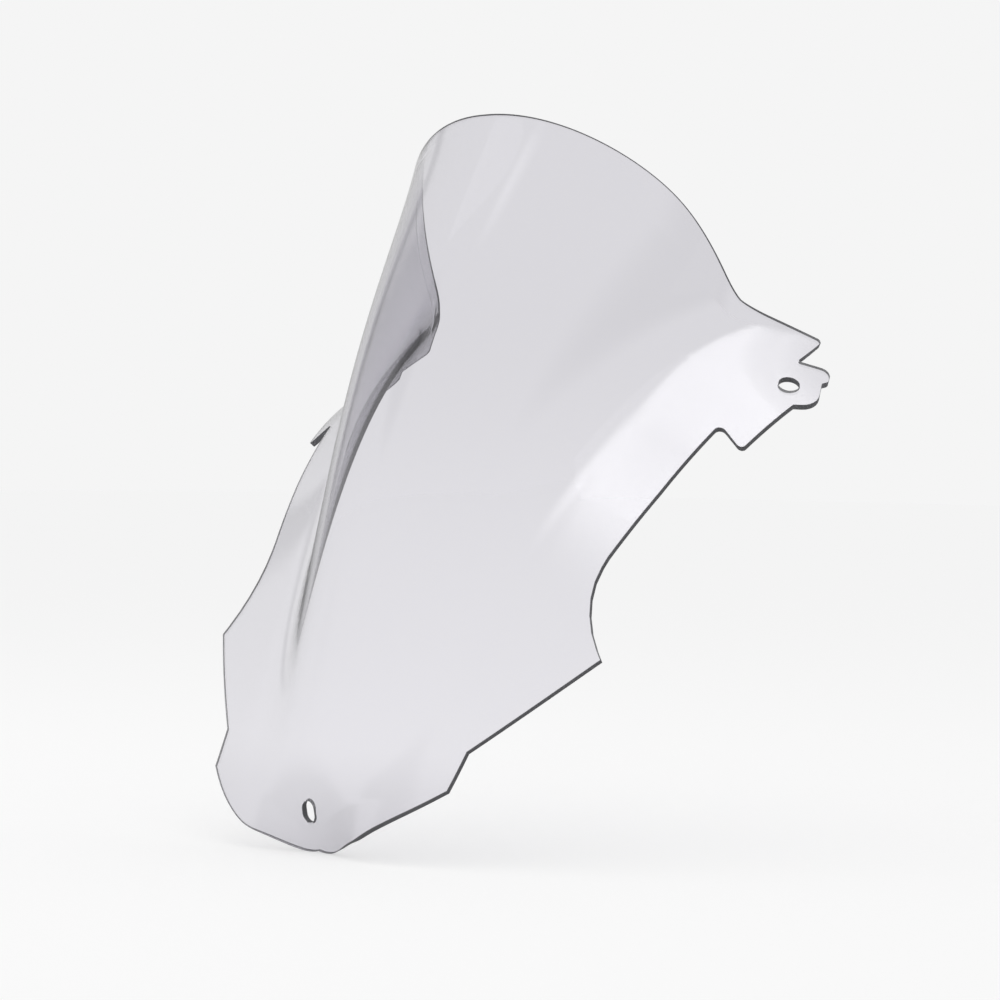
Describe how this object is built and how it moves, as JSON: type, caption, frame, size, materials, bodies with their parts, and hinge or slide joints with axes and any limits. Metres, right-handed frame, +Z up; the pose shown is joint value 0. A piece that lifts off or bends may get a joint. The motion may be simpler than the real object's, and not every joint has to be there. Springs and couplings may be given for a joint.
{
  "type": "motorcycle windshield screen",
  "caption": "Clear lightly smoked motorcycle race windshield screen, thermoformed with a tall central bubble, swept side wings with mirror tabs, and a slotted nose.",
  "frame": {"origin": "centre of the nose slot on the outer (front) face", "axes": "+X across the screen, -Y to the front that meets the air, +Y to the rider side, +Z up; the screen stands as it would with its nose down"},
  "size_m": [0.3768, 0.2566, 0.4221],
  "materials": {
    "acrylic": "polished clear acrylic sheet, very light smoke tint"
  },
  "bodies": {
    "root": {"screen": "acrylic"}
  },
  "joints": []
}
